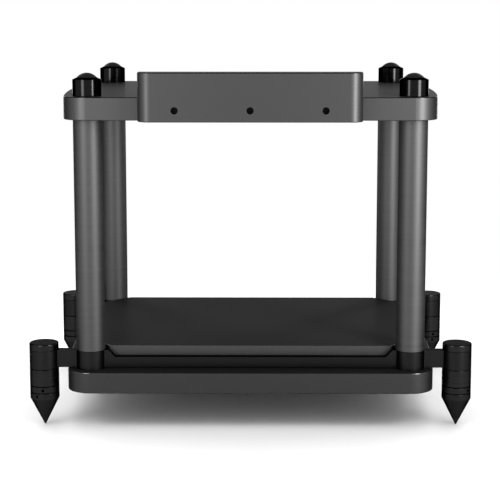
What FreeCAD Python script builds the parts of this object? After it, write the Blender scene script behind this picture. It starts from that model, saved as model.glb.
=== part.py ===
import FreeCAD, Part
import math
import os
from enum import IntEnum

import Sketcher
from FreeCAD import Placement, Rotation, Vector

# Speaker stand: two thick plates on four posts, a loose shelf, and spiked feet on cross beams.
# Millimetres. +Z is up and the front faces -Y. The origin is on the floor, under the middle of
# the stand's outline.

SIZES = (
    # Plates and posts
    ("post_span_x", 427, "between post axes, side to side"),
    ("post_span_y", 325, "between post axes, front to back"),
    ("post_dia", 38, "post diameter"),
    ("post_length", 309, "post length between beam and top plate"),
    ("post_edge_break", 0.6, "chamfer on the post ends"),
    ("post_thread_depth", 32, "depth of the threaded hole in each post end"),
    ("plate_overhang", 31, "post axis to the plates' front and rear edges"),
    ("plate_side_overhang", 27, "post axis to the plates' sides, at their corners"),
    ("plate_side_bow", 13.7, "swell of the plates' sides between the corners"),
    ("plate_corner_radius", 32, "plate corners seen from above"),
    ("base_thickness", 28, "base plate thickness"),
    ("top_thickness", 30, "top plate thickness"),
    ("plate_edge_round", 1.2, "rounding along the plates' edges"),
    # Front panel and its screws
    ("panel_width", 288, "panel width"),
    ("panel_depth", 30, "panel depth in front of the top plate"),
    ("panel_height", 63, "panel height from the top plate's underside"),
    ("panel_corner_radius", 16.5, "upright front corners of the panel"),
    ("panel_edge_round", 1.2, "rounding along the panel's edges"),
    ("panel_screw_pitch", 96, "between neighbouring panel screws"),
    ("panel_screw_level", 15, "screw axis above the panel's underside"),
    ("panel_screw_dia", 5, "panel screw thread"),
    ("panel_screw_grip", 20, "thread length in the top plate"),
    ("panel_head_dia", 8.5, "panel screw head diameter"),
    ("panel_head_height", 5, "panel screw head height"),
    ("panel_sink_depth", 12, "counterbore depth in the panel"),
    ("panel_socket_width", 4, "hexagon socket of the panel screw, across flats"),
    ("panel_socket_depth", 2.5, "depth of that socket"),
    # Cross beams
    ("beam_height", 25, "height of the beam's bosses"),
    ("hub_dia", 39, "boss under a post"),
    ("web_thickness", 12, "web between the bosses"),
    ("web_lift", 1.5, "gap under the web"),
    ("web_fillet", 2, "fillet between web and boss"),
    ("relief_depth", 9.5, "relief in the web's top edge"),
    ("relief_margin", 4, "boss to the relief's upper end"),
    ("relief_slope", 9, "run of the relief's slanted ends"),
    # Shelf
    ("shelf_thickness", 20, "shelf thickness"),
    ("shelf_gap", 1, "between shelf and beam webs"),
    ("shelf_corner_gap", 2.5, "between the shelf's cut corner and the post or boss"),
    ("shelf_side_inset", 8.5, "base plate side, at its corners, to shelf side"),
    ("shelf_edge_round", 1, "rounding along the shelf's upper edge"),
    ("pad_dia", 30, "shelf pad diameter"),
    ("pad_height", 8.5, "shelf pad height"),
    ("pad_inset_x", 82, "shelf side to pad axis"),
    ("pad_inset_y", 45, "shelf front or rear edge to pad axis"),
    # Support caps
    ("cap_dia", 38, "support cap diameter"),
    ("cap_height", 21.5, "upright wall of the support cap"),
    ("cap_shoulder_rise", 2.8, "height of the conical shoulder"),
    ("cap_edge_break", 0.5, "chamfer under the support cap"),
    ("cap_thread_depth", 14, "threaded hole in the support cap"),
    ("dome_dia", 26, "dome insert diameter"),
    ("dome_height", 5.9, "dome above the shoulder"),
    ("dome_spigot_dia", 16, "dome spigot diameter"),
    ("dome_spigot_length", 5, "dome spigot length"),
    # Post studs and bolts
    ("bolt_dia", 12, "post bolts and cap studs"),
    ("bolt_head_dia", 18, "post bolt head diameter"),
    ("bolt_head_height", 12, "post bolt head height"),
    ("bolt_socket_width", 10, "hexagon socket of the post bolt, across flats"),
    ("bolt_socket_depth", 6, "depth of that socket"),
    ("bolt_reach", 30, "bolt and stud length inside a post"),
    ("washer_dia", 24, "washer diameter"),
    ("washer_thickness", 2.5, "washer thickness"),
    ("sink_dia", 28, "counterbore under the base plate"),
    ("sink_depth", 16, "depth of that counterbore"),
    # Feet
    ("foot_offset", 63, "post axis to foot axis, along the beam"),
    ("foot_dia", 39, "all pieces of the foot column"),
    ("foot_edge_break", 0.7, "chamfers along the foot's joints"),
    ("foot_cap_height", 9.5, "disc on top of the foot"),
    ("foot_cap_round", 1.5, "rounding of that disc's upper edge"),
    ("foot_body_length", 23, "foot body under the beam"),
    ("spigot_dia", 20, "foot body's spigot through the beam"),
    ("spigot_in_cap", 5, "spigot length inside the foot cap"),
    ("ring_height", 8.6, "lock ring height"),
    ("spike_skirt", 8.3, "upright rim of the spike"),
    ("spike_cone_length", 37.3, "cone of the spike"),
    ("spike_tip_dia", 1.5, "flat at the spike's tip"),
    ("stud_dia", 12, "spike stud"),
    ("stud_in_foot", 38, "stud length inside the foot body"),
    ("stud_in_spike", 24, "stud length inside the spike"),
    ("tommy_hole_dia", 4, "holes for a turning bar in ring and spike"),
    ("tommy_hole_depth", 8, "depth of those holes"),
    # Clearances
    ("joint_gap", 0.4, "between foot body, lock ring and spike"),
    ("running_gap", 0.3, "radial, round the spike stud in foot and ring"),
    ("turning_gap", 0.06, "radial, between spike and its stud"),
    ("bolt_gap", 0.4, "radial, round a bolt in a plain hole"),
    ("thread_gap", 0.05, "radial, in a threaded hole"),
    ("spigot_gap", 0.05, "radial, round a spigot"),
    ("end_gap", 0.5, "at the blind end of a hole"),
)

doc = FreeCAD.newDocument("speaker_stand")
sheet = doc.addObject("Spreadsheet::Sheet", "sizes")
for row, (alias, size, meaning) in enumerate(SIZES, start=1):
    sheet.set(f"A{row}", meaning)
    sheet.set(f"B{row}", str(size))
    sheet.setAlias(f"B{row}", alias)
doc.recompute()

# Places worked out from the sizes

POST_X = "sizes.post_span_x / 2"
POST_Y = "sizes.post_span_y / 2"
FOOT_X = "(sizes.post_span_x / 2 + sizes.foot_offset)"
PLATE_HALF_X = "(sizes.post_span_x / 2 + sizes.plate_side_overhang)"
PLATE_HALF_Y = "(sizes.post_span_y / 2 + sizes.plate_overhang)"
CENTRE_Y = "sizes.panel_depth / 2"
ROW_Y = {-1: f"({CENTRE_Y} - {POST_Y})", 1: f"({CENTRE_Y} + {POST_Y})"}

SPIKE_TOP = "(sizes.spike_cone_length + sizes.spike_skirt)"
RING_LEVEL = f"({SPIKE_TOP} + sizes.joint_gap)"
FOOT_LEVEL = f"({RING_LEVEL} + sizes.ring_height + sizes.joint_gap)"
BEAM_LEVEL = f"({FOOT_LEVEL} + sizes.foot_body_length)"
BASE_LEVEL = f"({BEAM_LEVEL} - sizes.base_thickness)"
POST_LEVEL = f"({BEAM_LEVEL} + sizes.beam_height)"
TOP_LEVEL = f"({POST_LEVEL} + sizes.post_length)"
CAP_LEVEL = f"({TOP_LEVEL} + sizes.top_thickness)"
DOME_LEVEL = f"({CAP_LEVEL} + sizes.cap_height + sizes.cap_shoulder_rise)"
SHELF_LEVEL = f"({BEAM_LEVEL} + sizes.pad_height)"
STUD_LEVEL = f"({SPIKE_TOP} - sizes.stud_in_spike)"

BOLT_HOLE = "(sizes.bolt_dia / 2 + sizes.bolt_gap)"
BOLT_THREAD = "(sizes.bolt_dia / 2 + sizes.thread_gap)"
SPIGOT_HOLE = "(sizes.spigot_dia / 2 + sizes.spigot_gap)"
STUD_HOLE = "(sizes.stud_dia / 2 + sizes.running_gap)"

CORNERS = {
    "front_left": (-1, -1),
    "front_right": (1, -1),
    "rear_left": (-1, 1),
    "rear_right": (1, 1),
}
# Turn of each tommy hole from straight ahead, in degrees, positive to the right
RING_TURN = {"front_left": 0, "front_right": 45, "rear_left": 120, "rear_right": 20}
SPIKE_TURN = {"front_left": -25, "front_right": 150, "rear_left": 200, "rear_right": 17}

TOUCHING = 1e-4

nodes = []


class Ref(IntEnum):
    """How a sketch numbers its axes, and the points of a line, arc or circle."""
    VERTICAL_AXIS = -2
    HORIZONTAL_AXIS = -1
    START = 1
    END = 2
    CENTRE = 3


# Sketch helpers

def number(expression):
    return float(sheet.evalExpression(expression))


def new_body(label):
    body = doc.addObject("PartDesign::Body", label)
    body.Label = label
    return body


def new_sketch(body, name, plane, offset=None):
    """A sketch on one of the body's own origin planes, moved along its normal by offset."""
    sketch = body.newObject("Sketcher::SketchObject", name)
    support = next(item for item in body.Origin.OriginFeatures if item.Role == plane)
    sketch.AttachmentSupport = [(support, "")]
    sketch.MapMode = "FlatFace"
    if offset:
        sketch.setExpression("AttachmentOffset.Base.z", offset)
    return sketch


def tie(sketch, constraint, expression):
    index = sketch.addConstraint(constraint)
    sketch.setExpression(f"Constraints[{index}]", expression)


def tie_across(sketch, geometry, point, across):
    """Hold a point at a distance to the right of the sketch's vertical axis; "0" puts it on the axis."""
    if across == "0":
        sketch.addConstraint(Sketcher.Constraint("PointOnObject", geometry, point, Ref.VERTICAL_AXIS))
    else:
        distance = Sketcher.Constraint(
            "DistanceX", Ref.HORIZONTAL_AXIS, Ref.START, geometry, point, number(across))
        tie(sketch, distance, across)


def tie_up(sketch, geometry, point, up):
    """Hold a point at a distance above the sketch's horizontal axis; "0" puts it on the axis."""
    if up == "0":
        sketch.addConstraint(Sketcher.Constraint("PointOnObject", geometry, point, Ref.HORIZONTAL_AXIS))
    else:
        distance = Sketcher.Constraint(
            "DistanceY", Ref.HORIZONTAL_AXIS, Ref.START, geometry, point, number(up))
        tie(sketch, distance, up)


def arc_between(start, end, centre_across):
    """Anticlockwise arc between two points, about a centre whose distance across is given."""
    start_reach = (start.x - centre_across) ** 2 + start.y ** 2
    end_reach = (end.x - centre_across) ** 2 + end.y ** 2
    centre_up = (start_reach - end_reach) / (2 * (start.y - end.y))
    centre = Vector(centre_across, centre_up, 0)
    start_angle = math.atan2(start.y - centre.y, start.x - centre.x)
    end_angle = math.atan2(end.y - centre.y, end.x - centre.x)
    if end_angle < start_angle:
        end_angle += 2 * math.pi
    circle = Part.Circle(centre, Vector(0, 0, 1), (start - centre).Length)
    return Part.ArcOfCircle(circle, start_angle, end_angle)


def draw_outline(sketch, corners, arcs=None):
    """Closed outline through corners; arcs gives the centre's distance across for the arc after a corner."""
    arcs = arcs or {}
    points = [Vector(number(across), number(up), 0) for across, up in corners]
    following = points[1:] + points[:1]
    for step, (start, end) in enumerate(zip(points, following)):
        if step in arcs:
            sketch.addGeometry(arc_between(start, end, number(arcs[step])))
            tie_across(sketch, step, Ref.CENTRE, arcs[step])
        else:
            sketch.addGeometry(Part.LineSegment(start, end))
    for step, (across, up) in enumerate(corners):
        before = (step - 1) % len(corners)
        sketch.addConstraint(Sketcher.Constraint("Coincident", before, Ref.END, step, Ref.START))
        tie_across(sketch, step, Ref.START, across)
        tie_up(sketch, step, Ref.START, up)


def draw_circle(sketch, across, up, radius):
    centre = Vector(number(across), number(up), 0)
    circle = sketch.addGeometry(Part.Circle(centre, Vector(0, 0, 1), number(radius)))
    tie_across(sketch, circle, Ref.CENTRE, across)
    tie_up(sketch, circle, Ref.CENTRE, up)
    tie(sketch, Sketcher.Constraint("Radius", circle, number(radius)), radius)


def rectangle(half_x, half_y):
    return [
        (f"-{half_x}", f"-{half_y}"),
        (half_x, f"-{half_y}"),
        (half_x, half_y),
        (f"-{half_x}", half_y),
    ]


# Feature helpers

def pad(body, sketch, length):
    feature = body.newObject("PartDesign::Pad", "Pad")
    feature.Profile = sketch
    feature.setExpression("Length", length)
    return feature


def pocket(body, sketch, length, reverse=False, symmetric=False):
    """Cut against the sketch's normal, or along it when reversed."""
    feature = body.newObject("PartDesign::Pocket", "Pocket")
    feature.Profile = sketch
    feature.Reversed = reverse
    if symmetric:
        feature.SideType = "Symmetric"
    feature.setExpression("Length", length)
    return feature


def turned(label, corners, arcs=None):
    """A body of revolution about Z through corners given as radius and height."""
    body = new_body(label)
    sketch = new_sketch(body, "Profile", "XZ_Plane")
    draw_outline(sketch, corners, arcs)
    feature = body.newObject("PartDesign::Revolution", "Revolution")
    feature.Profile = sketch
    feature.ReferenceAxis = (sketch, ["V_Axis"])
    return body


def dress_edges(body, kind, size_name, size, wanted):
    """Add a fillet or chamfer to the edges of the body's last feature that wanted picks."""
    doc.recompute()
    base = body.Tip
    names = [f"Edge{index}" for index, edge in enumerate(base.Shape.Edges, start=1) if wanted(edge)]
    feature = body.newObject(f"PartDesign::{kind}", kind)
    feature.Base = (base, names)
    feature.setExpression(size_name, size)


def round_edges(body, radius, wanted):
    dress_edges(body, "Fillet", "Radius", radius, wanted)


def break_edges(body, size, wanted):
    dress_edges(body, "Chamfer", "Size", size, wanted)


def upright(edge):
    box = edge.BoundBox
    return box.XLength < TOUCHING and box.YLength < TOUCHING


def level_at(*heights):
    """Picks edges that lie in one of the given horizontal planes."""
    def wanted(edge):
        box = edge.BoundBox
        return any(abs(box.ZMin - height) + abs(box.ZMax - height) < TOUCHING for height in heights)
    return wanted


def hexagon_socket(body, level, width, depth, reverse=False):
    """Hexagonal socket cut from a level plane."""
    sketch = new_sketch(body, "Socket", "XY_Plane", level)
    corner_radius = f"{width} / (2 * cos(30 deg))"
    corners = []
    for step in range(6):
        turn = 60 * step + 30
        corners.append((f"{corner_radius} * cos({turn} deg)", f"{corner_radius} * sin({turn} deg)"))
    corners[1] = ("0", corners[1][1])
    corners[4] = ("0", corners[4][1])
    draw_outline(sketch, corners)
    pocket(body, sketch, depth, reverse)


def place(item, x, y, z, rotation=None):
    """Bind an object's place to three expressions."""
    item.Placement = Placement(Vector(), rotation or Rotation())
    for axis, expression in zip("xyz", (x, y, z)):
        item.setExpression(f"Placement.Base.{axis}", expression)


def keep(item):
    nodes.append(item)
    return item


def keep_group(label, items):
    """Separate solids that share one node."""
    group = doc.addObject("Part::Compound", label)
    group.Label = label
    group.Links = items
    return keep(group)


# Plates

def plate_blank(label, thickness):
    """Plate with bowed sides, round corners and rounded edges, its middle at the origin."""
    body = new_body(label)
    sketch = new_sketch(body, "Outline", "XY_Plane")
    bow_radius = f"({PLATE_HALF_Y} ^ 2 + sizes.plate_side_bow ^ 2) / (2 * sizes.plate_side_bow)"
    bow_centre = f"({PLATE_HALF_X} + sizes.plate_side_bow - {bow_radius})"
    draw_outline(sketch, rectangle(PLATE_HALF_X, PLATE_HALF_Y), arcs={1: bow_centre, 3: f"-{bow_centre}"})
    pad(body, sketch, thickness)
    round_edges(body, "sizes.plate_corner_radius", upright)
    round_edges(body, "sizes.plate_edge_round", level_at(0, number(thickness)))
    return body


def corner_circles(body, name, radius):
    """Sketch on the plate's underside with a circle on each post axis."""
    sketch = new_sketch(body, name, "XY_Plane")
    for side, row in CORNERS.values():
        draw_circle(sketch, f"{side} * {POST_X}", f"{row} * {POST_Y}", radius)
    return sketch


def screw_circles(body, name, offset, radius):
    """Upright sketch, offset to the front, with a circle on each panel screw's axis."""
    sketch = new_sketch(body, name, "XZ_Plane", offset)
    for step in (-1, 0, 1):
        across = f"{step} * sizes.panel_screw_pitch" if step else "0"
        draw_circle(sketch, across, "sizes.panel_screw_level", radius)
    return sketch


def make_base_plate():
    body = plate_blank("base_plate", "sizes.base_thickness")
    holes = corner_circles(body, "BoltHoles", BOLT_HOLE)
    pocket(body, holes, "sizes.base_thickness", reverse=True)
    sinks = corner_circles(body, "Counterbores", "sizes.sink_dia / 2")
    pocket(body, sinks, "sizes.sink_depth", reverse=True)
    place(body, "0", CENTRE_Y, BASE_LEVEL)
    keep(body)


def make_top_plate():
    body = plate_blank("top_plate", "sizes.top_thickness")
    holes = corner_circles(body, "StudHoles", BOLT_HOLE)
    pocket(body, holes, "sizes.top_thickness", reverse=True)
    thread_radius = "sizes.panel_screw_dia / 2 + sizes.thread_gap"
    threads = screw_circles(body, "PanelThreads", PLATE_HALF_Y, thread_radius)
    pocket(body, threads, "sizes.panel_screw_grip + sizes.end_gap")
    place(body, "0", CENTRE_Y, TOP_LEVEL)
    keep(body)


# Front panel

def make_front_panel():
    """Bar with round upright front corners and three counterbored holes; its back face is at y = 0."""
    body = new_body("front_panel")
    sketch = new_sketch(body, "Outline", "XY_Plane")
    half_width = "sizes.panel_width / 2"
    front = "-sizes.panel_depth"
    draw_outline(sketch, [
        (f"-{half_width}", front),
        (half_width, front),
        (half_width, "0"),
        (f"-{half_width}", "0"),
    ])
    pad(body, sketch, "sizes.panel_height")
    front_y = number(front)
    round_edges(body, "sizes.panel_corner_radius",
                lambda edge: upright(edge) and abs(edge.BoundBox.YMin - front_y) < TOUCHING)
    at_top_or_bottom = level_at(0, number("sizes.panel_height"))
    round_edges(body, "sizes.panel_edge_round",
                lambda edge: at_top_or_bottom(edge) and edge.BoundBox.YMin < -TOUCHING)
    for name, radius, depth in (
        ("ScrewHoles", "sizes.panel_screw_dia / 2 + sizes.bolt_gap", "sizes.panel_depth"),
        ("Counterbores", "sizes.panel_head_dia / 2 + sizes.bolt_gap", "sizes.panel_sink_depth"),
    ):
        holes = screw_circles(body, name, "sizes.panel_depth", radius)
        pocket(body, holes, depth)
    place(body, "0", f"{CENTRE_Y} - {PLATE_HALF_Y}", TOP_LEVEL)
    keep(body)


def socket_screw(label, shank_dia, shank_length, head_dia, head_height, socket_width, socket_depth):
    """Cap screw along Z: head below z = 0 with its socket underneath, shank above."""
    body = turned(label, [
        ("0", f"-{head_height}"),
        (f"{head_dia} / 2", f"-{head_height}"),
        (f"{head_dia} / 2", "0"),
        (f"{shank_dia} / 2", "0"),
        (f"{shank_dia} / 2", shank_length),
        ("0", shank_length),
    ])
    hexagon_socket(body, f"-{head_height}", socket_width, socket_depth, reverse=True)
    return body


def make_panel_screws():
    seat = "(sizes.panel_depth - sizes.panel_sink_depth)"
    screws = []
    for step in (-1, 0, 1):
        screw = socket_screw(
            f"panel_screw_{step + 2}", "sizes.panel_screw_dia", f"{seat} + sizes.panel_screw_grip",
            "sizes.panel_head_dia", "sizes.panel_head_height",
            "sizes.panel_socket_width", "sizes.panel_socket_depth")
        place(screw, f"{step} * sizes.panel_screw_pitch", f"{CENTRE_Y} - {PLATE_HALF_Y} - {seat}",
              f"{TOP_LEVEL} + sizes.panel_screw_level", Rotation(Vector(1, 0, 0), -90))
        screws.append(screw)
    keep_group("panel_screws", screws)


# Posts and what clamps them

def make_post(corner, side, row):
    radius = "sizes.post_dia / 2"
    length = "sizes.post_length"
    chamfer = "sizes.post_edge_break"
    body = turned(f"post_{corner}", [
        ("0", "sizes.post_thread_depth"),
        (BOLT_THREAD, "sizes.post_thread_depth"),
        (BOLT_THREAD, "0"),
        (f"{radius} - {chamfer}", "0"),
        (radius, chamfer),
        (radius, f"{length} - {chamfer}"),
        (f"{radius} - {chamfer}", length),
        (BOLT_THREAD, length),
        (BOLT_THREAD, f"{length} - sizes.post_thread_depth"),
        ("0", f"{length} - sizes.post_thread_depth"),
    ])
    place(body, f"{side} * {POST_X}", ROW_Y[row], POST_LEVEL)
    keep(body)


def make_cap_stud(corner, side, row):
    """Stud from the support cap, through the top plate, into the post."""
    length = "sizes.bolt_reach + sizes.top_thickness + sizes.cap_thread_depth - sizes.end_gap"
    body = turned(f"cap_stud_{corner}", [
        ("0", "0"),
        ("sizes.bolt_dia / 2", "0"),
        ("sizes.bolt_dia / 2", length),
        ("0", length),
    ])
    place(body, f"{side} * {POST_X}", ROW_Y[row], f"{TOP_LEVEL} - sizes.bolt_reach")
    keep(body)


def make_base_fasteners():
    """Bolts and washers in the base plate's counterbores, up through the beams into the posts."""
    bolts = []
    washers = []
    seat = f"({BASE_LEVEL} + sizes.sink_depth)"
    shank = ("sizes.washer_thickness + sizes.base_thickness - sizes.sink_depth"
             " + sizes.beam_height + sizes.bolt_reach")
    for corner, (side, row) in CORNERS.items():
        bolt = socket_screw(
            f"base_bolt_{corner}", "sizes.bolt_dia", shank, "sizes.bolt_head_dia", "sizes.bolt_head_height",
            "sizes.bolt_socket_width", "sizes.bolt_socket_depth")
        place(bolt, f"{side} * {POST_X}", ROW_Y[row], f"{seat} - sizes.washer_thickness")
        bolts.append(bolt)
        washer = turned(f"base_washer_{corner}", [
            (BOLT_HOLE, "0"),
            ("sizes.washer_dia / 2", "0"),
            ("sizes.washer_dia / 2", "sizes.washer_thickness"),
            (BOLT_HOLE, "sizes.washer_thickness"),
        ])
        place(washer, f"{side} * {POST_X}", ROW_Y[row], f"{seat} - sizes.washer_thickness")
        washers.append(washer)
    keep_group("base_bolts", bolts)
    keep_group("base_washers", washers)


# Support caps

def make_support_cap(corner, side, row):
    """Glossy cap with a conical shoulder, threaded from below and bored for the dome insert."""
    radius = "sizes.cap_dia / 2"
    shoulder = "sizes.cap_height + sizes.cap_shoulder_rise"
    spigot = "sizes.dome_spigot_dia / 2 + sizes.spigot_gap"
    spigot_floor = f"{shoulder} - sizes.dome_spigot_length - sizes.end_gap"
    body = turned(f"support_cap_{corner}", [
        ("0", "sizes.cap_thread_depth"),
        (BOLT_THREAD, "sizes.cap_thread_depth"),
        (BOLT_THREAD, "0"),
        (f"{radius} - sizes.cap_edge_break", "0"),
        (radius, "sizes.cap_edge_break"),
        (radius, "sizes.cap_height"),
        ("sizes.dome_dia / 2", shoulder),
        (spigot, shoulder),
        (spigot, spigot_floor),
        ("0", spigot_floor),
    ])
    place(body, f"{side} * {POST_X}", ROW_Y[row], CAP_LEVEL)
    keep(body)


def make_support_dome(corner, side, row):
    """Domed insert with a spigot, resting on the cap's shoulder."""
    spigot = "sizes.dome_spigot_dia / 2"
    body = turned(f"support_dome_{corner}", [
        ("0", "-sizes.dome_spigot_length"),
        (spigot, "-sizes.dome_spigot_length"),
        (spigot, "0"),
        ("sizes.dome_dia / 2", "0"),
        ("0", "sizes.dome_height"),
    ], arcs={3: "0"})
    place(body, f"{side} * {POST_X}", ROW_Y[row], DOME_LEVEL)
    keep(body)


# Cross beams

def make_beam(label, row):
    """One machined beam: four bosses on a web, with a relief in the middle of its top edge."""
    body = new_body(label)
    web = new_sketch(body, "Web", "XY_Plane", "sizes.web_lift")
    draw_outline(web, rectangle(FOOT_X, "sizes.web_thickness / 2"))
    pad(body, web, "sizes.beam_height - sizes.web_lift")
    bosses = new_sketch(body, "Bosses", "XY_Plane")
    for side in (-1, 1):
        draw_circle(bosses, f"{side} * {POST_X}", "0", "sizes.hub_dia / 2")
        draw_circle(bosses, f"{side} * {FOOT_X}", "0", "sizes.foot_dia / 2")
    pad(body, bosses, "sizes.beam_height")
    web_side = number("sizes.web_thickness / 2")
    round_edges(body, "sizes.web_fillet",
                lambda edge: upright(edge) and abs(abs(edge.BoundBox.YMin) - web_side) < TOUCHING)
    lower_rims, foot_x = level_at(0), number(FOOT_X)
    break_edges(body, "sizes.foot_edge_break",
                lambda edge: lower_rims(edge) and abs(abs(edge.BoundBox.Center.x) - foot_x) < TOUCHING)
    relief = new_sketch(body, "Relief", "XZ_Plane")
    relief_top = f"({POST_X} - sizes.hub_dia / 2 - sizes.relief_margin)"
    relief_floor = f"({relief_top} - sizes.relief_slope)"
    draw_outline(relief, [
        (f"-{relief_floor}", "sizes.beam_height - sizes.relief_depth"),
        (relief_floor, "sizes.beam_height - sizes.relief_depth"),
        (relief_top, "sizes.beam_height"),
        (f"-{relief_top}", "sizes.beam_height"),
    ])
    pocket(body, relief, "2 * sizes.web_thickness", symmetric=True)
    bores = new_sketch(body, "Bores", "XY_Plane")
    for side in (-1, 1):
        draw_circle(bores, f"{side} * {POST_X}", "0", BOLT_HOLE)
        draw_circle(bores, f"{side} * {FOOT_X}", "0", SPIGOT_HOLE)
    pocket(body, bores, "sizes.beam_height", reverse=True)
    place(body, "0", ROW_Y[row], BEAM_LEVEL)
    keep(body)


# Shelf

SHELF_HALF_X = f"({PLATE_HALF_X} - sizes.shelf_side_inset)"
SHELF_HALF_Y = f"({POST_Y} - sizes.web_thickness / 2 - sizes.shelf_gap)"


def make_shelf():
    """Loose plate between the beams, its corners cut at 45 degrees round the posts."""
    body = new_body("shelf")
    corner_reach = "(max(sizes.post_dia; sizes.hub_dia) / 2 + sizes.shelf_corner_gap) * sqrt(2)"
    cut_x = f"({POST_X} + {POST_Y} - {corner_reach} - {SHELF_HALF_Y})"
    cut_y = f"({POST_X} + {POST_Y} - {corner_reach} - {SHELF_HALF_X})"
    sketch = new_sketch(body, "Outline", "XY_Plane")
    draw_outline(sketch, [
        (f"-{cut_x}", f"-{SHELF_HALF_Y}"),
        (cut_x, f"-{SHELF_HALF_Y}"),
        (SHELF_HALF_X, f"-{cut_y}"),
        (SHELF_HALF_X, cut_y),
        (cut_x, SHELF_HALF_Y),
        (f"-{cut_x}", SHELF_HALF_Y),
        (f"-{SHELF_HALF_X}", cut_y),
        (f"-{SHELF_HALF_X}", f"-{cut_y}"),
    ])
    pad(body, sketch, "sizes.shelf_thickness")
    round_edges(body, "sizes.shelf_edge_round", level_at(number("sizes.shelf_thickness")))
    place(body, "0", CENTRE_Y, SHELF_LEVEL)
    keep(body)


def make_shelf_pads():
    pads = []
    for corner, (side, row) in CORNERS.items():
        disc = doc.addObject("Part::Cylinder", f"shelf_pad_{corner}")
        disc.setExpression("Radius", "sizes.pad_dia / 2")
        disc.setExpression("Height", "sizes.pad_height")
        place(disc, f"{side} * ({SHELF_HALF_X} - sizes.pad_inset_x)",
              f"{CENTRE_Y} + {row} * ({SHELF_HALF_Y} - sizes.pad_inset_y)", BEAM_LEVEL)
        pads.append(disc)
    keep_group("shelf_pads", pads)


# Feet

FOOT_RADIUS = "sizes.foot_dia / 2"
FOOT_EDGE = "sizes.foot_dia / 2 - sizes.foot_edge_break"


def tommy_hole(body, level):
    """Blind hole in the column's front for a turning bar."""
    sketch = new_sketch(body, "TommyHole", "XZ_Plane", f"{FOOT_RADIUS} - sizes.tommy_hole_depth")
    draw_circle(sketch, "0", level, "sizes.tommy_hole_dia / 2")
    pocket(body, sketch, "sizes.tommy_hole_depth", reverse=True)


def make_foot_cap(corner, side, row):
    """Disc with a rounded upper edge, bored for the foot body's spigot."""
    height = "sizes.foot_cap_height"
    bore_depth = "sizes.spigot_in_cap + sizes.end_gap"
    round_start = f"({FOOT_RADIUS} - sizes.foot_cap_round)"
    body = turned(f"foot_cap_{corner}", [
        ("0", bore_depth),
        (SPIGOT_HOLE, bore_depth),
        (SPIGOT_HOLE, "0"),
        (FOOT_EDGE, "0"),
        (FOOT_RADIUS, "sizes.foot_edge_break"),
        (FOOT_RADIUS, f"{height} - sizes.foot_cap_round"),
        (round_start, height),
        ("0", height),
    ], arcs={5: round_start})
    place(body, f"{side} * {FOOT_X}", ROW_Y[row], POST_LEVEL)
    keep(body)


def make_foot_body(corner, side, row):
    """Lower part of the foot column, with a spigot up through the beam and a bore for the stud."""
    length = "sizes.foot_body_length"
    spigot_top = f"{length} + sizes.beam_height + sizes.spigot_in_cap"
    bore_depth = "sizes.stud_in_foot + sizes.end_gap"
    body = turned(f"foot_body_{corner}", [
        ("0", bore_depth),
        (STUD_HOLE, bore_depth),
        (STUD_HOLE, "0"),
        (FOOT_EDGE, "0"),
        (FOOT_RADIUS, "sizes.foot_edge_break"),
        (FOOT_RADIUS, f"{length} - sizes.foot_edge_break"),
        (FOOT_EDGE, length),
        ("sizes.spigot_dia / 2", length),
        ("sizes.spigot_dia / 2", spigot_top),
        ("0", spigot_top),
    ])
    place(body, f"{side} * {FOOT_X}", ROW_Y[row], FOOT_LEVEL)
    keep(body)


def make_lock_ring(corner, side, row):
    height = "sizes.ring_height"
    body = turned(f"lock_ring_{corner}", [
        (STUD_HOLE, "0"),
        (FOOT_EDGE, "0"),
        (FOOT_RADIUS, "sizes.foot_edge_break"),
        (FOOT_RADIUS, f"{height} - sizes.foot_edge_break"),
        (FOOT_EDGE, height),
        (STUD_HOLE, height),
    ])
    tommy_hole(body, f"{height} / 2")
    turn = Rotation(Vector(0, 0, 1), RING_TURN[corner])
    place(body, f"{side} * {FOOT_X}", ROW_Y[row], RING_LEVEL, turn)
    keep(body)


def make_spike(corner, side, row):
    """Cone on a short rim, bored for its stud."""
    stud_bore = "sizes.stud_dia / 2 + sizes.turning_gap"
    bore_floor = f"{SPIKE_TOP} - sizes.stud_in_spike - sizes.end_gap"
    body = turned(f"spike_{corner}", [
        ("0", "0"),
        ("sizes.spike_tip_dia / 2", "0"),
        (FOOT_RADIUS, "sizes.spike_cone_length"),
        (FOOT_RADIUS, f"{SPIKE_TOP} - sizes.foot_edge_break"),
        (FOOT_EDGE, SPIKE_TOP),
        (stud_bore, SPIKE_TOP),
        (stud_bore, bore_floor),
        ("0", bore_floor),
    ])
    tommy_hole(body, "sizes.spike_cone_length + sizes.spike_skirt / 2")
    turn = Rotation(Vector(0, 0, 1), SPIKE_TURN[corner])
    place(body, f"{side} * {FOOT_X}", ROW_Y[row], "0", turn)
    keep(body)


def make_spike_stud(corner, side, row):
    length = "sizes.stud_in_spike + 2 * sizes.joint_gap + sizes.ring_height + sizes.stud_in_foot"
    body = turned(f"spike_stud_{corner}", [
        ("0", "0"),
        ("sizes.stud_dia / 2", "0"),
        ("sizes.stud_dia / 2", length),
        ("0", length),
    ])
    place(body, f"{side} * {FOOT_X}", ROW_Y[row], STUD_LEVEL)
    keep(body)


def check_model():
    """Every object is sound, and every pocket takes material away."""
    doc.recompute()
    for item in doc.Objects:
        if "Invalid" in item.State or "Error" in item.State:
            raise RuntimeError(f"{item.Label} failed: {item.State}")
        if item.TypeId == "PartDesign::Pocket" and item.Shape.Volume >= item.BaseFeature.Shape.Volume:
            raise RuntimeError(f"{item.Label} cuts nothing")
    for node in nodes:
        if node.Shape.isNull() or not node.Shape.isValid():
            raise RuntimeError(f"{node.Label} has no sound shape")


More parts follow.
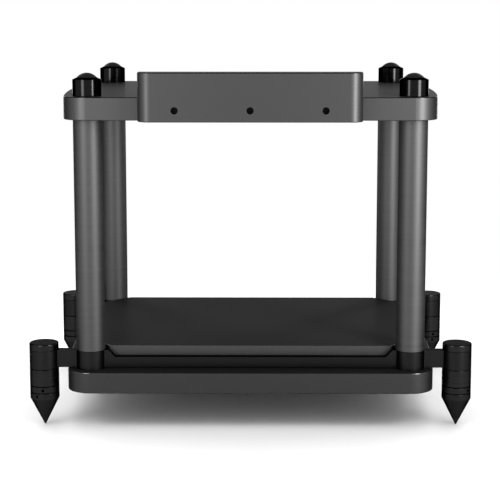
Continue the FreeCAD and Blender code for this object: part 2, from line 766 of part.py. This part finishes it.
def main():
    make_base_plate()
    make_top_plate()
    make_front_panel()
    make_panel_screws()
    make_beam("front_beam", -1)
    make_beam("rear_beam", 1)
    make_shelf()
    make_shelf_pads()
    make_base_fasteners()
    for corner, (side, row) in CORNERS.items():
        make_post(corner, side, row)
        make_cap_stud(corner, side, row)
        make_support_cap(corner, side, row)
        make_support_dome(corner, side, row)
        make_foot_cap(corner, side, row)
        make_foot_body(corner, side, row)
        make_lock_ring(corner, side, row)
        make_spike(corner, side, row)
        make_spike_stud(corner, side, row)
    check_model()
    os.makedirs("parts", exist_ok=True)
    for node in nodes:
        node.Shape.exportStep(f"parts/{node.Label}.step")
        box = node.Shape.BoundBox
        print(f"{node.Label}: {len(node.Shape.Solids)} solids, {node.Shape.Volume:.0f} mm3, "
              f"x {box.XMin:.1f} to {box.XMax:.1f}, y {box.YMin:.1f} to {box.YMax:.1f}, "
              f"z {box.ZMin:.1f} to {box.ZMax:.1f}")


main()
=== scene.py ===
import math

import bmesh
import bpy
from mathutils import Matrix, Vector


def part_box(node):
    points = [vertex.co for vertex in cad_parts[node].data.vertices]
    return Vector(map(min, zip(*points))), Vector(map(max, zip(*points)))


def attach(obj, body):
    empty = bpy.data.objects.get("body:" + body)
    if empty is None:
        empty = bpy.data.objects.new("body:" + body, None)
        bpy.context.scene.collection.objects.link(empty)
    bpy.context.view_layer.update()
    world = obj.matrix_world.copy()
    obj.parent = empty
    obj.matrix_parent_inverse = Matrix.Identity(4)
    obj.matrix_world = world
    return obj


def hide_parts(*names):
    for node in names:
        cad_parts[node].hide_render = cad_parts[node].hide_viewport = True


# Speaker stand: satin grey plates on four posts, gloss black caps, and spiked feet on black beams.
# Metres. The front faces -Y.

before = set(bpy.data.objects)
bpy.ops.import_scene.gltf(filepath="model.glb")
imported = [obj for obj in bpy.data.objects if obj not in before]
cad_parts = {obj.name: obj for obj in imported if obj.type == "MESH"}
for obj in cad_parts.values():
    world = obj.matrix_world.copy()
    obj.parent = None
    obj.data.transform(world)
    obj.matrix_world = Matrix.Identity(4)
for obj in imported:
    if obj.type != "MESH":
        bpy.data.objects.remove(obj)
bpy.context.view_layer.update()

CORNERS = ("front_left", "front_right", "rear_left", "rear_right")

# The camera, as solved from the photo, with a part of its lens shift, so that uprights converge only a little
FRAME_PX = 500
SENSOR_MM = 36
FOCAL_PX = 1396
CAMERA_PLACE = (0.011, -1.971, 0.561)
CAMERA_PITCH_DEG = 8.0
CAMERA_TURN_DEG = 0.36
CAMERA_SHIFT = -0.10

# White surround, and a round white floor that fades out into it and is a little darker in reflections
SURROUND_STRENGTH = 1.0
FLOOR_RADIUS = 1.1
FLOOR_FADE_START = 0.45
FLOOR_SIDES = 96
FLOOR_COLOUR = 1.0
FLOOR_MIRRORED = 0.7
FLOOR_ROUGHNESS = 0.9

# Upright lamps: azimuth from straight ahead in degrees, distance, height of the middle, width, height, watts.
# Only the metal mirrors the softboxes, and the floor lamps light the floor alone.
SOFTBOXES = {
    "softbox_left": (-33, 1.16, 0.76, 0.30, 1.25, 12.5),
    "softbox_right": (42, 1.10, 0.76, 0.29, 1.25, 27),
    "softbox_rear_left": (-142, 1.2, 0.78, 0.30, 1.2, 8.4),
    "softbox_rear_right": (142, 1.2, 0.78, 0.20, 1.2, 9.6),
}
FLOOR_LAMPS = {
    "floor_lamp_left": (-50, 1.2, 1.2, 0.6, 0.7, 6),
    "floor_lamp_right": (50, 1.2, 1.2, 0.6, 0.7, 6),
}

# Lamp overhead, which lights the floor alone
TOP_LAMP_PLACE = (0, 0.6, 1.7)
TOP_LAMP_WIDTH = 2.0
TOP_LAMP_DEPTH = 1.6
TOP_LAMP_WATTS = 18

# Dark hood overhead, by the Y and Z of its profile, and dark cards at the sides: only reflections see them
HOOD_WIDTH = 6.0
HOOD_PROFILE = ((-2.9, 1.25), (-2.7, 2.2), (-2.2, 2.9), (-1.2, 3.3), (0.0, 3.4), (1.2, 3.3), (2.2, 2.9))
CARD_AZIMUTHS_DEG = (-112, 112)
CARD_DISTANCE = 1.3
CARD_WIDTH = 1.2
CARD_HEIGHT = 1.8
DARK_COLOUR = 0.02

# Blasted plates: colour, share of metal, roughness, level at a glancing angle, coat, gain of the painted
# light on the upper edges (a painted highlight above 1, a painted dark reflection line below 1)
BLASTED = {
    "grey_metal": ((0.063, 0.063, 0.064), 0.8, 0.46, 0.37, 0.03, 0.4),
    # The base plate is the same grey metal with painted shade: its colour is darker because less light falls
    # on it low down, and its edge gain paints a highlight
    "base_metal": ((0.044, 0.044, 0.045), 0.8, 0.46, 0.37, 0.03, 1.9),
    "shelf_metal": ((0.067, 0.067, 0.068), 0.9, 0.44, 0.29, 0.0, 2.2),
}

# Turned metal: colour, roughness, level at a glancing angle, rings per metre
TURNED = {
    "post_metal": ((0.07, 0.07, 0.071), 0.54, 0.2, 500),
    "gloss_black": ((0.013, 0.013, 0.013), 0.13, 0.15, 700),
    "satin_black_turned": ((0.023, 0.023, 0.023), 0.27, 0.34, 700),
    "steel": ((0.42, 0.42, 0.43), 0.3, 1.0, 900),
}

# Black anodised metal: colour, roughness, level at a glancing angle
ANODISED = {
    "satin_black_milled": ((0.018, 0.018, 0.018), 0.34, 0.36),
    "black_steel": ((0.008, 0.008, 0.008), 0.4, 0.5),
}

# Rubber: colour, roughness
RUBBER = {
    "dome_rubber": ((0.015, 0.015, 0.015), 0.6),
    "pad_rubber": ((0.02, 0.02, 0.02), 0.7),
}

# The material of each node, and of each kind of node that stands at all four corners
NODE_MATERIALS = {
    "base_plate": "base_metal",
    "top_plate": "grey_metal",
    "front_panel": "grey_metal",
    "shelf": "shelf_metal",
    "front_beam": "satin_black_milled",
    "rear_beam": "satin_black_milled",
    "panel_screws": "black_steel",
    "shelf_pads": "pad_rubber",
    "base_bolts": "steel",
    "base_washers": "steel",
}
CORNER_MATERIALS = {
    "post": "post_metal",
    "support_cap": "gloss_black",
    "support_dome": "dome_rubber",
    "foot_cap": "satin_black_turned",
    "foot_body": "satin_black_turned",
    "lock_ring": "satin_black_turned",
    "spike": "satin_black_turned",
    "cap_stud": "steel",
    "spike_stud": "steel",
}

# Fine grain: the noise's roughness and the part of its range that is used, and the rounding of sharp edges
NOISE_ROUGHNESS = 0.6
NOISE_LOW = 0.25
NOISE_HIGH = 0.75
EDGE_ROUND = 0.0003
EDGE_SAMPLES = 4

# Gloss of the clear coat on the plates, and of rubber
COAT_ROUGHNESS = 0.08
RUBBER_GLOSS = 0.05

# Upper edges of the plates, found by how far the surface faces up, are burnished to a lower roughness and get
# painted light in their colour: places and levels of a mask
EDGE_ROUGHNESS = 0.18
EDGE_MASK = ((0.1, 0), (0.25, 1), (0.85, 1), (0.97, 0))

# Thread of the spike studs, with the parts of one lead at which the root ends and the crest starts and ends
THREAD_LEAD = 0.00175
THREAD_DEPTH = 0.00095
THREAD_STEPS = 32
ROOT_END = 0.14
CREST_START = 0.5
CREST_END = 0.62


# Material helpers

def new_material(name, colour, metallic, roughness, edge_tint=1.0):
    """A material with its own shader; edge_tint dims what a metal mirrors at a glancing angle."""
    material = bpy.data.materials.new(name)
    material.use_nodes = True
    shader = material.node_tree.nodes["Principled BSDF"]
    shader.inputs["Base Color"].default_value = (*colour, 1)
    shader.inputs["Metallic"].default_value = metallic
    shader.inputs["Roughness"].default_value = roughness
    shader.inputs["Specular Tint"].default_value = (edge_tint, edge_tint, edge_tint, 1)
    return material


def add_node(material, kind, **settings):
    """A new shader node with its settings."""
    node = material.node_tree.nodes.new(kind)
    for name, value in settings.items():
        setattr(node, name, value)
    return node


def link(material, output, socket):
    """Join two sockets."""
    material.node_tree.links.new(output, socket)


def grain(material, scale, detail):
    """Noise in the object's own space, stretched by a scale per metre along X, Y and Z."""
    place = add_node(material, "ShaderNodeTexCoord")
    mapping = add_node(material, "ShaderNodeMapping")
    mapping.inputs["Scale"].default_value = scale
    noise = add_node(material, "ShaderNodeTexNoise")
    noise.inputs["Scale"].default_value = 1.0
    noise.inputs["Detail"].default_value = detail
    noise.inputs["Roughness"].default_value = NOISE_ROUGHNESS
    link(material, place.outputs["Object"], mapping.inputs["Vector"])
    link(material, mapping.outputs["Vector"], noise.inputs["Vector"])
    return noise.outputs["Fac"]


def spread(material, factor, low, high):
    """Map a noise value to a range of numbers."""
    ramp = add_node(material, "ShaderNodeMapRange")
    ramp.inputs["From Min"].default_value = NOISE_LOW
    ramp.inputs["From Max"].default_value = NOISE_HIGH
    ramp.inputs["To Min"].default_value = low
    ramp.inputs["To Max"].default_value = high
    link(material, factor, ramp.inputs["Value"])
    return ramp.outputs["Result"]


def tint(material, factor, low, high):
    """Mix two colours by a factor."""
    mix = add_node(material, "ShaderNodeMix", data_type="RGBA")
    mix.inputs["A"].default_value = (*low, 1)
    mix.inputs["B"].default_value = (*high, 1)
    link(material, factor, mix.inputs["Factor"])
    return mix.outputs["Result"]


def dress(material, factor, colour, roughness, colour_swing, roughness_swing, relief):
    """Let one grain vary the colour, the roughness and the relief, and soften sharp edges."""
    shader = material.node_tree.nodes["Principled BSDF"]
    low = [channel * (1 - colour_swing) for channel in colour]
    high = [channel * (1 + colour_swing) for channel in colour]
    link(material, tint(material, spread(material, factor, 0, 1), low, high), shader.inputs["Base Color"])
    rough = spread(material, factor, roughness - roughness_swing, roughness + roughness_swing)
    link(material, rough, shader.inputs["Roughness"])
    bump = add_node(material, "ShaderNodeBump")
    bump.inputs["Strength"].default_value = 1.0
    bump.inputs["Distance"].default_value = relief
    link(material, factor, bump.inputs["Height"])
    edge = add_node(material, "ShaderNodeBevel", samples=EDGE_SAMPLES)
    edge.inputs["Radius"].default_value = EDGE_ROUND
    link(material, edge.outputs["Normal"], bump.inputs["Normal"])
    link(material, bump.outputs["Normal"], shader.inputs["Normal"])


def smooth_upper_edges_and_paint_light(material, gain):
    """Burnish the rounded upper edges, and paint light into their colour: a gain above 1 paints a highlight,
    a gain below 1 a dark reflection line.
    """
    shader = material.node_tree.nodes["Principled BSDF"]
    surface = add_node(material, "ShaderNodeNewGeometry")
    slope = add_node(material, "ShaderNodeSeparateXYZ")
    link(material, surface.outputs["Normal"], slope.inputs["Vector"])
    mask = add_node(material, "ShaderNodeValToRGB")
    stops = mask.color_ramp.elements
    for place, level in EDGE_MASK:
        stop = stops.new(place)
        stop.color = (level, level, level, 1)
    stops.remove(stops[-1])
    stops.remove(stops[0])
    link(material, slope.outputs["Z"], mask.inputs["Fac"])
    mix = add_node(material, "ShaderNodeMix", data_type="FLOAT")
    link(material, mask.outputs["Color"], mix.inputs["Factor"])
    link(material, shader.inputs["Roughness"].links[0].from_socket, mix.inputs["A"])
    mix.inputs["B"].default_value = EDGE_ROUGHNESS
    link(material, mix.outputs["Result"], shader.inputs["Roughness"])
    # Painted light: the upper edges' colour times the gain, a painted highlight above 1 and a painted dark
    # reflection line below 1
    painted_edge_light = add_node(material, "ShaderNodeMix", data_type="RGBA", blend_type="MULTIPLY")
    link(material, mask.outputs["Color"], painted_edge_light.inputs["Factor"])
    link(material, shader.inputs["Base Color"].links[0].from_socket, painted_edge_light.inputs["A"])
    painted_edge_light.inputs["B"].default_value = (gain, gain, gain, 1)
    link(material, painted_edge_light.outputs["Result"], shader.inputs["Base Color"])


# Materials

def blasted_metal(name, colour, metallic, roughness, edge_tint, coat, painted_edge_light_gain):
    """Blasted and dyed plate, under a thin clear coat that shows at a glancing angle."""
    material = new_material(name, colour, metallic, roughness, edge_tint)
    shader = material.node_tree.nodes["Principled BSDF"]
    shader.inputs["Specular IOR Level"].default_value = 0.0
    shader.inputs["Coat Weight"].default_value = coat
    shader.inputs["Coat Roughness"].default_value = COAT_ROUGHNESS
    grains = grain(material, scale=(700, 700, 700), detail=4.0)
    dress(material, grains, colour, roughness, colour_swing=0.1, roughness_swing=0.04, relief=0.000002)
    # Painted highlight or painted dark reflection line along the upper edges, by this plate's gain
    smooth_upper_edges_and_paint_light(material, painted_edge_light_gain)
    return material


def turned_metal(name, colour, roughness, edge_tint, rings_per_metre):
    """Metal turned on a lathe, with fine rings round its upright axis."""
    material = new_material(name, colour, 1.0, roughness, edge_tint)
    rings = grain(material, scale=(4, 4, rings_per_metre), detail=3.0)
    dress(material, rings, colour, roughness, colour_swing=0.1, roughness_swing=0.04, relief=0.000003)
    return material


def anodised_metal(name, colour, roughness, edge_tint):
    """Black anodised metal with a fine blasted grain."""
    material = new_material(name, colour, 1.0, roughness, edge_tint)
    grains = grain(material, scale=(900, 900, 900), detail=2.0)
    dress(material, grains, colour, roughness, colour_swing=0.08, roughness_swing=0.04, relief=0.000004)
    return material


def rubber(name, colour, roughness):
    """Dull black rubber with a fine moulded grain."""
    material = new_material(name, colour, 0.0, roughness)
    material.node_tree.nodes["Principled BSDF"].inputs["Specular IOR Level"].default_value = RUBBER_GLOSS
    grains = grain(material, scale=(1400, 1400, 1400), detail=3.0)
    dress(material, grains, colour, roughness, colour_swing=0.15, roughness_swing=0.06, relief=0.00001)
    return material


def make_materials():
    """Every material of the stand, by its name."""
    tables = {blasted_metal: BLASTED, turned_metal: TURNED, anodised_metal: ANODISED, rubber: RUBBER}
    materials = {}
    for maker, table in tables.items():
        for name, values in table.items():
            materials[name] = maker(name, *values)
    return materials


def dress_nodes(materials):
    """Give every node of the frame its material."""
    by_node = dict(NODE_MATERIALS)
    for kind, name in CORNER_MATERIALS.items():
        for corner in CORNERS:
            by_node[f"{kind}_{corner}"] = name
    for node_name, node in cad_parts.items():
        node.data.materials.clear()
        node.data.materials.append(materials[by_node[node_name]])


# Threaded studs

def threaded_rod(name, centre_x, centre_y, bottom, top, radius):
    """A rod with one continuous thread, made of a profile that winds up its axis."""
    profile = (
        (radius - THREAD_DEPTH, 0.0),
        (radius - THREAD_DEPTH, ROOT_END),
        (radius, CREST_START),
        (radius, CREST_END),
    )
    turns = int((top - bottom) / THREAD_LEAD) - 1
    steps = turns * THREAD_STEPS
    mesh = bmesh.new()
    rows = []
    for step in range(steps + 1):
        angle = 2 * math.pi * step / THREAD_STEPS
        level = bottom + THREAD_LEAD * step / THREAD_STEPS
        row = []
        for reach, rise in profile:
            x = centre_x + reach * math.cos(angle)
            y = centre_y + reach * math.sin(angle)
            row.append(mesh.verts.new((x, y, level + rise * THREAD_LEAD)))
        rows.append(row)
    last = len(profile) - 1
    for step in range(steps):
        near, far = rows[step], rows[step + 1]
        for part in range(last):
            mesh.faces.new((near[part], far[part], far[part + 1], near[part + 1]))
        if step + 1 + THREAD_STEPS <= steps:
            near_above, far_above = rows[step + THREAD_STEPS], rows[step + 1 + THREAD_STEPS]
            mesh.faces.new((near[last], far[last], far_above[0], near_above[0]))
    lower_edge = [rows[step][0] for step in range(THREAD_STEPS + 1)] + rows[0][:0:-1]
    upper_edge = [rows[steps - THREAD_STEPS + step][last] for step in range(THREAD_STEPS + 1)]
    upper_edge += rows[steps][last - 1::-1]
    for edge, level in ((lower_edge, bottom), (upper_edge, top)):
        middle = mesh.verts.new((centre_x, centre_y, level))
        for start, end in zip(edge, edge[1:] + edge[:1]):
            mesh.faces.new((start, end, middle))
    bmesh.ops.recalc_face_normals(mesh, faces=mesh.faces)
    data = bpy.data.meshes.new(name)
    mesh.to_mesh(data)
    mesh.free()
    rod = bpy.data.objects.new(name, data)
    bpy.context.scene.collection.objects.link(rod)
    return rod


def make_studs(material):
    """Threaded rods in place of the four plain spike studs."""
    for corner in CORNERS:
        node = f"spike_stud_{corner}"
        low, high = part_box(node)
        middle = (low + high) / 2
        rod = threaded_rod(f"threaded_{node}", middle.x, middle.y, low.z, high.z, (high.x - low.x) / 2)
        rod.data.materials.append(material)
        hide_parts(node)
        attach(rod, node)


# Studio

def stage_object(name, points, faces, material):
    """A mesh that belongs to the studio and not to the stand."""
    data = bpy.data.meshes.new(name)
    data.from_pydata(points, [], faces)
    data.materials.append(material)
    stage_piece = bpy.data.objects.new(name, data)
    bpy.context.scene.collection.objects.link(stage_piece)
    return stage_piece


def floor_material():
    """White and dull; clear seen from below, and fading out into the white surround at the rim."""
    seen = (FLOOR_COLOUR,) * 3
    mirrored = (FLOOR_MIRRORED,) * 3
    material = new_material("floor", seen, 0.0, FLOOR_ROUGHNESS)
    shader = material.node_tree.nodes["Principled BSDF"]
    shader.inputs["Specular IOR Level"].default_value = 0.0
    path = add_node(material, "ShaderNodeLightPath")
    colour = tint(material, path.outputs["Is Glossy Ray"], seen, mirrored)
    link(material, colour, shader.inputs["Base Color"])
    side = add_node(material, "ShaderNodeNewGeometry")
    reach = add_node(material, "ShaderNodeVectorMath", operation="LENGTH")
    link(material, side.outputs["Position"], reach.inputs["Vector"])
    fade = add_node(material, "ShaderNodeMapRange", interpolation_type="SMOOTHSTEP")
    fade.inputs["From Min"].default_value = FLOOR_FADE_START
    fade.inputs["From Max"].default_value = FLOOR_RADIUS
    link(material, reach.outputs["Value"], fade.inputs["Value"])
    hidden = add_node(material, "ShaderNodeMath", operation="MAXIMUM")
    link(material, side.outputs["Backfacing"], hidden.inputs[0])
    link(material, fade.outputs["Result"], hidden.inputs[1])
    clear = add_node(material, "ShaderNodeBsdfTransparent")
    mix = add_node(material, "ShaderNodeMixShader")
    link(material, hidden.outputs["Value"], mix.inputs["Fac"])
    link(material, shader.outputs["BSDF"], mix.inputs[1])
    link(material, clear.outputs["BSDF"], mix.inputs[2])
    link(material, mix.outputs["Shader"], material.node_tree.nodes["Material Output"].inputs["Surface"])
    return material


def make_floor():
    """Round white floor under the stand."""
    points = []
    for side in range(FLOOR_SIDES):
        angle = 2 * math.pi * side / FLOOR_SIDES
        points.append((FLOOR_RADIUS * math.cos(angle), FLOOR_RADIUS * math.sin(angle), 0))
    return stage_object("floor", points, [tuple(range(FLOOR_SIDES))], floor_material())


def make_dark_strip(name, pairs, material):
    """Dark strip through pairs of points, which only the metal mirrors."""
    points = [point for pair in pairs for point in pair]
    faces = []
    for start in range(0, len(points) - 2, 2):
        faces.append((start, start + 1, start + 3, start + 2))
    strip = stage_object(name, points, faces, material)
    strip.visible_camera = False
    strip.visible_diffuse = False
    strip.visible_shadow = False


def make_dark_strips():
    """A hood overhead, and an upright card on each side."""
    dark = new_material("dark_cloth", (DARK_COLOUR,) * 3, 0.0, 1.0)
    hood_pairs = [((-HOOD_WIDTH / 2, y, z), (HOOD_WIDTH / 2, y, z)) for y, z in HOOD_PROFILE]
    make_dark_strip("hood", hood_pairs, dark)
    for azimuth in CARD_AZIMUTHS_DEG:
        turn = math.radians(azimuth)
        pairs = []
        for across in (-CARD_WIDTH / 2, CARD_WIDTH / 2):
            x = CARD_DISTANCE * math.sin(turn) + across * math.cos(turn)
            y = -CARD_DISTANCE * math.cos(turn) + across * math.sin(turn)
            pairs.append(((x, y, 0), (x, y, CARD_HEIGHT)))
        make_dark_strip(f"card_{azimuth}", pairs, dark)


def make_lamp(name, place, turn, width, height, watts):
    """Rectangular area lamp that the camera doesn't see."""
    light = bpy.data.lights.new(name, "AREA")
    light.shape = "RECTANGLE"
    light.size = width
    light.size_y = height
    light.energy = watts
    lamp = bpy.data.objects.new(name, light)
    lamp.location = place
    lamp.rotation_euler = turn
    lamp.visible_camera = False
    bpy.context.scene.collection.objects.link(lamp)
    return lamp


def make_upright_lamp(name, azimuth, distance, level, width, height, watts):
    """Lamp that stands upright and faces the stand."""
    turn = math.radians(azimuth)
    place = (distance * math.sin(turn), -distance * math.cos(turn), level)
    return make_lamp(name, place, (math.radians(90), 0, turn), width, height, watts)


def make_lamps(floor):
    """Softboxes that the metal mirrors, and lamps that light the floor alone."""
    for name, values in SOFTBOXES.items():
        make_upright_lamp(name, *values).visible_diffuse = False
    floor_lamps = []
    for name, values in FLOOR_LAMPS.items():
        floor_lamps.append(make_upright_lamp(name, *values))
    top_turn = (0, 0, 0)
    top_lamp = make_lamp("top_lamp", TOP_LAMP_PLACE, top_turn, TOP_LAMP_WIDTH, TOP_LAMP_DEPTH, TOP_LAMP_WATTS)
    floor_lamps.append(top_lamp)
    lit = bpy.data.collections.new("lit_by_floor_lamps")
    lit.objects.link(floor)
    for lamp in floor_lamps:
        lamp.visible_glossy = False
        lamp.light_linking.receiver_collection = lit


def make_world():
    """White surround, for the camera, for the light and for reflections alike."""
    world = bpy.data.worlds.new("surround")
    world.use_nodes = True
    surround = world.node_tree.nodes["Background"]
    surround.inputs["Color"].default_value = (1, 1, 1, 1)
    surround.inputs["Strength"].default_value = SURROUND_STRENGTH
    bpy.context.scene.world = world


def make_camera():
    """Camera at the photo's viewing angle."""
    data = bpy.data.cameras.new("camera")
    data.sensor_width = SENSOR_MM
    data.lens = FOCAL_PX * SENSOR_MM / FRAME_PX
    data.shift_y = CAMERA_SHIFT
    camera = bpy.data.objects.new("camera", data)
    camera.location = CAMERA_PLACE
    camera.rotation_euler = (math.radians(90 - CAMERA_PITCH_DEG), 0, math.radians(CAMERA_TURN_DEG))
    bpy.context.scene.collection.objects.link(camera)
    bpy.context.scene.camera = camera


bpy.context.scene.view_settings.view_transform = "Standard"
materials = make_materials()
dress_nodes(materials)
make_studs(materials["steel"])
floor = make_floor()
make_dark_strips()
make_world()
make_lamps(floor)
make_camera()
